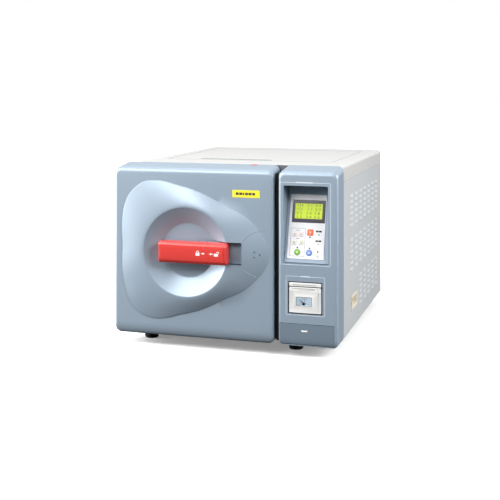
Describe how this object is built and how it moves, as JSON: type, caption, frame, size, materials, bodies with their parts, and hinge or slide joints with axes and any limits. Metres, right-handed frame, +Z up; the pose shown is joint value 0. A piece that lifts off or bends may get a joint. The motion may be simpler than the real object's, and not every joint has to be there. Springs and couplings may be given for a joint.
{
  "type": "benchtop autoclave",
  "caption": "Front-loading benchtop steam steriliser with a hinged round-dished door, sliding lock handle, control column with screen, keypad and printer, and a top water tank.",
  "frame": {"origin": "centre of the whole object in plan, on the surface that the feet stand on", "axes": "+X to the right seen from the front, +Y from the door towards the rear panel, +Z up"},
  "size_m": [0.51, 0.64, 0.408],
  "materials": {
    "blue_grey_plastic": "satin moulded ABS",
    "pale_grey_paint": "fine textured powder coat",
    "white_paint": "smooth powder coat",
    "black_plastic": "matte",
    "black_rubber": "matte",
    "stainless_steel": "satin",
    "zinc_plate": "zinc plated",
    "brass": "machined",
    "red_plastic": "glossy moulded",
    "silicone": "matte",
    "foil_faced_wool": "foil",
    "white_film": "satin",
    "lcd_surround": "glossy",
    "circuit_board": "solder mask",
    "cream_plastic": "moulded",
    "thermal_paper": "smooth",
    "pale_key": "embossed film",
    "grey_key": "embossed film",
    "orange_key": "embossed film",
    "green_key": "embossed film",
    "blue_key": "embossed film",
    "blue_knob": "moulded",
    "red_knob": "moulded"
  },
  "bodies": {
    "cabinet": {"base_pan": "pale_grey_paint", "side_cover_left": "pale_grey_paint", "side_cover_right": "pale_grey_paint", "top_cover": "white_paint", "rear_panel": "pale_grey_paint", "front_bulkhead": "zinc_plate", "foot_front_left": "black_rubber", "foot_front_right": "black_rubber", "foot_rear_left": "black_rubber", "foot_rear_right": "black_rubber", "chamber_vessel": "stainless_steel", "insulation_jacket": "foil_faced_wool", "heater_band": "zinc_plate", "tray_rack": "stainless_steel", "instrument_tray_1": "stainless_steel", "instrument_tray_2": "stainless_steel", "instrument_tray_3": "stainless_steel", "water_tank": "white_film", "vacuum_pump": "black_plastic", "condenser": "stainless_steel", "valve_manifold": "brass", "safety_valve": "brass", "fan_housing": "black_plastic", "power_inlet": "black_plastic", "control_column": "blue_grey_plastic", "keypad_plate": "white_film", "lcd_module": "lcd_surround", "control_board": "circuit_board", "printer_housing": "blue_grey_plastic", "drain_valve_clean": "brass", "drain_valve_used": "brass", "side_grip": "cream_plastic", "hinge_bracket": "zinc_plate"},
    "door": {"door_cover": "blue_grey_plastic", "door_back_cover": "blue_grey_plastic", "pressure_plate": "stainless_steel", "door_gasket": "silicone", "hinge_strap": "zinc_plate"},
    "handle": {"handle_grip": "red_plastic", "handle_rack": "zinc_plate"},
    "pinion": {"lock_pinion": "zinc_plate"},
    "bolt": {"lock_bolt": "zinc_plate"},
    "release": {"release_button": "red_plastic"},
    "lid": {"tank_lid": "white_paint"},
    "fan": {"fan_rotor": "black_plastic"},
    "rocker": {"rocker_switch": "red_plastic"},
    "printer_door": {"printer_cover": "white_film"},
    "feed_button": {"printer_button": "black_plastic"},
    "paper": {"paper_roll": "thermal_paper"},
    "platen": {"platen_roller": "black_rubber"},
    "flap": {"drain_flap": "blue_grey_plastic"},
    "knob_clean": {"drain_knob_clean": "blue_knob"},
    "knob_used": {"drain_knob_used": "red_knob"},
    "button_wrapped": {"key_wrapped": "pale_key"},
    "button_unwrapped": {"key_unwrapped": "pale_key"},
    "button_liquids": {"key_liquids": "grey_key"},
    "button_dry": {"key_dry": "grey_key"},
    "button_cycle": {"key_cycle": "orange_key"},
    "button_start": {"key_start": "green_key"},
    "button_stop": {"key_stop": "blue_key"}
  },
  "joints": [
    {"name": "door_swing", "type": "hinge", "parent": "cabinet", "child": "door", "pos_m": [-0.243, -0.217, 0.218], "axis": [0, 0, -1], "range_deg": [0, 110]},
    {"name": "handle_slide", "type": "slide", "parent": "door", "child": "handle", "axis": [1, 0, 0], "range_m": [0, 0.026]},
    {"name": "pinion_spin", "type": "hinge", "parent": "door", "child": "pinion", "pos_m": [-0.083, -0.278, 0.196], "axis": [0, 1, 0], "range_deg": [0, 94]},
    {"name": "bolt_slide", "type": "slide", "parent": "door", "child": "bolt", "axis": [-1, 0, 0], "range_m": [0, 0.026]},
    {"name": "release_press", "type": "slide", "parent": "door", "child": "release", "axis": [0, 0, -1], "range_m": [0, 0.001], "stiffness_N_per_m": 400},
    {"name": "lid_lift", "type": "hinge", "parent": "cabinet", "child": "lid", "pos_m": [-0.083, 0.226, 0.408], "axis": [-1, 0, 0], "range_deg": [0, 75]},
    {"name": "fan_spin", "type": "hinge", "parent": "cabinet", "child": "fan", "pos_m": [0.145, 0.2876, 0.278], "axis": [0, 1, 0], "continuous": true},
    {"name": "rocker_tilt", "type": "hinge", "parent": "cabinet", "child": "rocker", "pos_m": [0.1525, 0.3014, 0.098], "axis": [-1, 0, 0], "range_deg": [0, 16]},
    {"name": "printer_cover_tilt", "type": "hinge", "parent": "cabinet", "child": "printer_door", "pos_m": [0.1835, -0.292, 0.0996], "axis": [1, 0, 0], "range_deg": [0, 90]},
    {"name": "feed_press", "type": "slide", "parent": "printer_door", "child": "feed_button", "axis": [0, 1, 0], "range_m": [0, 0.0006], "stiffness_N_per_m": 400},
    {"name": "paper_spin", "type": "hinge", "parent": "cabinet", "child": "paper", "pos_m": [0.1835, -0.264, 0.119], "axis": [1, 0, 0], "continuous": true},
    {"name": "platen_spin", "type": "hinge", "parent": "cabinet", "child": "platen", "pos_m": [0.1835, -0.28, 0.154], "axis": [1, 0, 0], "continuous": true},
    {"name": "flap_drop", "type": "hinge", "parent": "cabinet", "child": "flap", "pos_m": [0.187, -0.2905, 0.032], "axis": [1, 0, 0], "range_deg": [0, 85]},
    {"name": "knob_clean_turn", "type": "hinge", "parent": "cabinet", "child": "knob_clean", "pos_m": [0.158, -0.274, 0.052], "axis": [0, 1, 0], "range_deg": [0, 90]},
    {"name": "knob_used_turn", "type": "hinge", "parent": "cabinet", "child": "knob_used", "pos_m": [0.216, -0.274, 0.052], "axis": [0, 1, 0], "range_deg": [0, 90]},
    {"name": "press_wrapped", "type": "slide", "parent": "cabinet", "child": "button_wrapped", "axis": [0, 0.9659, -0.2588], "range_m": [0, 0.0006], "stiffness_N_per_m": 500},
    {"name": "press_unwrapped", "type": "slide", "parent": "cabinet", "child": "button_unwrapped", "axis": [0, 0.9659, -0.2588], "range_m": [0, 0.0006], "stiffness_N_per_m": 500},
    {"name": "press_liquids", "type": "slide", "parent": "cabinet", "child": "button_liquids", "axis": [0, 0.9659, -0.2588], "range_m": [0, 0.0006], "stiffness_N_per_m": 500},
    {"name": "press_dry", "type": "slide", "parent": "cabinet", "child": "button_dry", "axis": [0, 0.9659, -0.2588], "range_m": [0, 0.0006], "stiffness_N_per_m": 500},
    {"name": "press_cycle", "type": "slide", "parent": "cabinet", "child": "button_cycle", "axis": [0, 0.9659, -0.2588], "range_m": [0, 0.0006], "stiffness_N_per_m": 500},
    {"name": "press_start", "type": "slide", "parent": "cabinet", "child": "button_start", "axis": [0, 0.9659, -0.2588], "range_m": [0, 0.0006], "stiffness_N_per_m": 500},
    {"name": "press_stop", "type": "slide", "parent": "cabinet", "child": "button_stop", "axis": [0, 0.9659, -0.2588], "range_m": [0, 0.0006], "stiffness_N_per_m": 500}
  ],
  "couplings": [
    {"joint": "pinion_spin", "follows": "handle_slide", "rad_per_m": 62.5},
    {"joint": "bolt_slide", "follows": "handle_slide", "ratio": 1}
  ]
}
